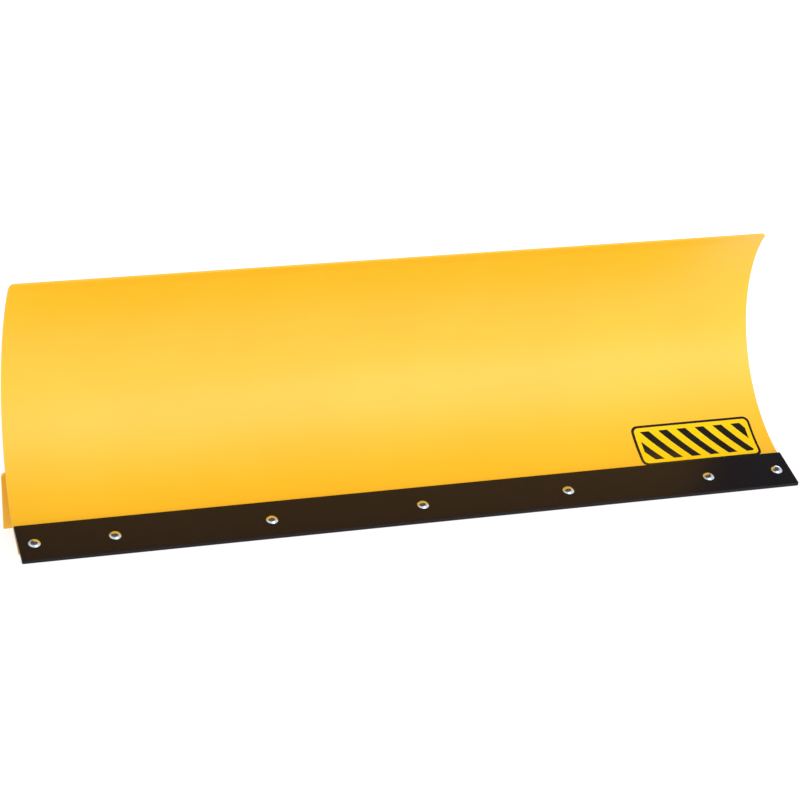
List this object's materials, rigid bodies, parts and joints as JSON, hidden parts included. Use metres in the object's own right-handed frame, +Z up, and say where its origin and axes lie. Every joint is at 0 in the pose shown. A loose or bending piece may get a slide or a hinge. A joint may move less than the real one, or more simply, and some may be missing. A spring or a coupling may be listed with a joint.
{
  "type": "atv plow blade",
  "caption": "Straight curved snow plow blade for an ATV, with bolted wear bar, rear angle, ribs, pivot ears and sliding skid shoes.",
  "frame": {"origin": "on the ground, at the middle of the bounding box", "axes": "+X to the right as seen from the front, +Y to the back (the blade faces -Y), +Z up; the blade stands on its cutting edge and its skid shoes"},
  "size_m": [1.3232, 0.285, 0.4146],
  "materials": {
    "yellow_paint": "semi-gloss yellow powder coat",
    "black_paint": "satin black paint",
    "zinc_plate": "bright zinc plate",
    "label_vinyl": "printed vinyl with black stripes"
  },
  "bodies": {
    "blade": {"moldboard": "yellow_paint", "wear_bar": "black_paint", "carriage_bolt_1": "zinc_plate", "carriage_bolt_2": "zinc_plate", "carriage_bolt_3": "zinc_plate", "carriage_bolt_4": "zinc_plate", "carriage_bolt_5": "zinc_plate", "carriage_bolt_6": "zinc_plate", "carriage_bolt_7": "zinc_plate", "flange_nut_1": "zinc_plate", "flange_nut_2": "zinc_plate", "flange_nut_3": "zinc_plate", "flange_nut_4": "zinc_plate", "flange_nut_5": "zinc_plate", "flange_nut_6": "zinc_plate", "flange_nut_7": "zinc_plate", "rear_angle": "yellow_paint", "rib_1": "yellow_paint", "rib_2": "yellow_paint", "rib_3": "yellow_paint", "rib_4": "yellow_paint", "rib_5": "yellow_paint", "rib_6": "yellow_paint", "gusset_1": "yellow_paint", "gusset_2": "yellow_paint", "gusset_3": "yellow_paint", "gusset_4": "yellow_paint", "gusset_5": "yellow_paint", "gusset_6": "yellow_paint", "pivot_ear_1": "yellow_paint", "pivot_ear_2": "yellow_paint", "pivot_ear_3": "yellow_paint", "pivot_ear_4": "yellow_paint", "skid_bracket_left": "yellow_paint", "skid_sleeve_left": "yellow_paint", "upper_spacer_left_1": "zinc_plate", "upper_spacer_left_2": "zinc_plate", "skid_bracket_right": "yellow_paint", "skid_sleeve_right": "yellow_paint", "upper_spacer_right_1": "zinc_plate", "upper_spacer_right_2": "zinc_plate", "hazard_label": "label_vinyl"},
    "spacer_stack_left": {"lower_spacer_left_1": "zinc_plate", "lower_spacer_left_2": "zinc_plate", "lower_spacer_left_3": "zinc_plate"},
    "skid_shoe_left": {"skid_foot_left": "black_paint", "skid_stem_left": "black_paint", "lynch_pin_left": "zinc_plate"},
    "lynch_ring_left": {"lynch_ring_left": "zinc_plate"},
    "spacer_stack_right": {"lower_spacer_right_1": "zinc_plate", "lower_spacer_right_2": "zinc_plate", "lower_spacer_right_3": "zinc_plate"},
    "skid_shoe_right": {"skid_foot_right": "black_paint", "skid_stem_right": "black_paint", "lynch_pin_right": "zinc_plate"},
    "lynch_ring_right": {"lynch_ring_right": "zinc_plate"}
  },
  "joints": [
    {"name": "skid_height_left", "type": "slide", "parent": "blade", "child": "spacer_stack_left", "axis": [0, 0, 1], "range_m": [-0.02, 0]},
    {"name": "skid_swivel_left", "type": "hinge", "parent": "spacer_stack_left", "child": "skid_shoe_left", "pos_m": [-0.487, 0.09648, 0.06], "axis": [0, 0, 1], "continuous": true},
    {"name": "lynch_ring_hinge_left", "type": "hinge", "parent": "skid_shoe_left", "child": "lynch_ring_left", "pos_m": [-0.504, 0.09648, 0.1424], "axis": [0, -1, 0], "range_deg": [0, 110]},
    {"name": "skid_height_right", "type": "slide", "parent": "blade", "child": "spacer_stack_right", "axis": [0, 0, 1], "range_m": [-0.02, 0]},
    {"name": "skid_swivel_right", "type": "hinge", "parent": "spacer_stack_right", "child": "skid_shoe_right", "pos_m": [0.487, 0.09648, 0.06], "axis": [0, 0, 1], "continuous": true},
    {"name": "lynch_ring_hinge_right", "type": "hinge", "parent": "skid_shoe_right", "child": "lynch_ring_right", "pos_m": [0.47, 0.09648, 0.1424], "axis": [0, -1, 0], "range_deg": [0, 110]}
  ]
}
